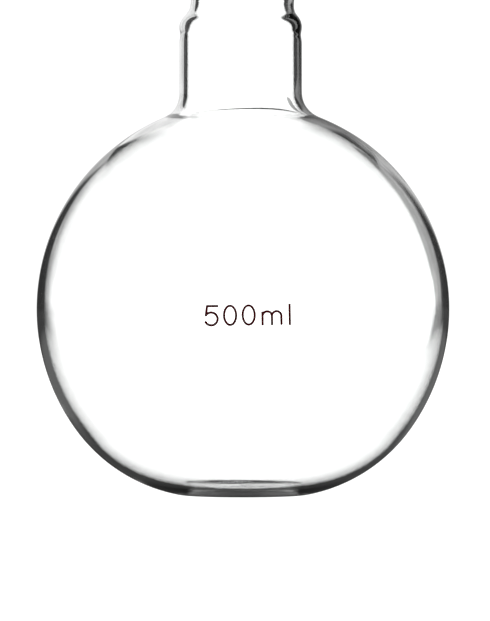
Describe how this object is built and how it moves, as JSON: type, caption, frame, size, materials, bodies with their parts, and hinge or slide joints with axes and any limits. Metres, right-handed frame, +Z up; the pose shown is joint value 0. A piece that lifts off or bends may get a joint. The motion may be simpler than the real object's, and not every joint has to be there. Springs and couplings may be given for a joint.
{
  "type": "flat bottom boiling flask with stopper",
  "caption": "Clear glass flat-bottomed boiling flask with a round bulb, a short neck, a tapered ground joint and a hollow glass stopper that lifts out.",
  "frame": {"origin": "middle of the flat base that the flask stands on", "axes": "+Z up along the axis of bulb, neck and joint; the front with the capacity mark faces -Y; +X to the right seen from the front"},
  "size_m": [0.105, 0.1051, 0.1837],
  "materials": {
    "flask_glass": "clear borosilicate, fire polished",
    "stopper_glass": "clear borosilicate with a ground cone",
    "mark_enamel": "dark maroon fired enamel"
  },
  "bodies": {
    "flask": {"bulb": "flask_glass", "neck_tube": "flask_glass", "joint_socket": "flask_glass", "capacity_mark": "mark_enamel"},
    "stopper": {"stopper": "stopper_glass"}
  },
  "joints": [
    {"name": "stopper_lift", "type": "slide", "parent": "flask", "child": "stopper", "axis": [0, 0, 1], "range_m": [0, 0.045]}
  ]
}
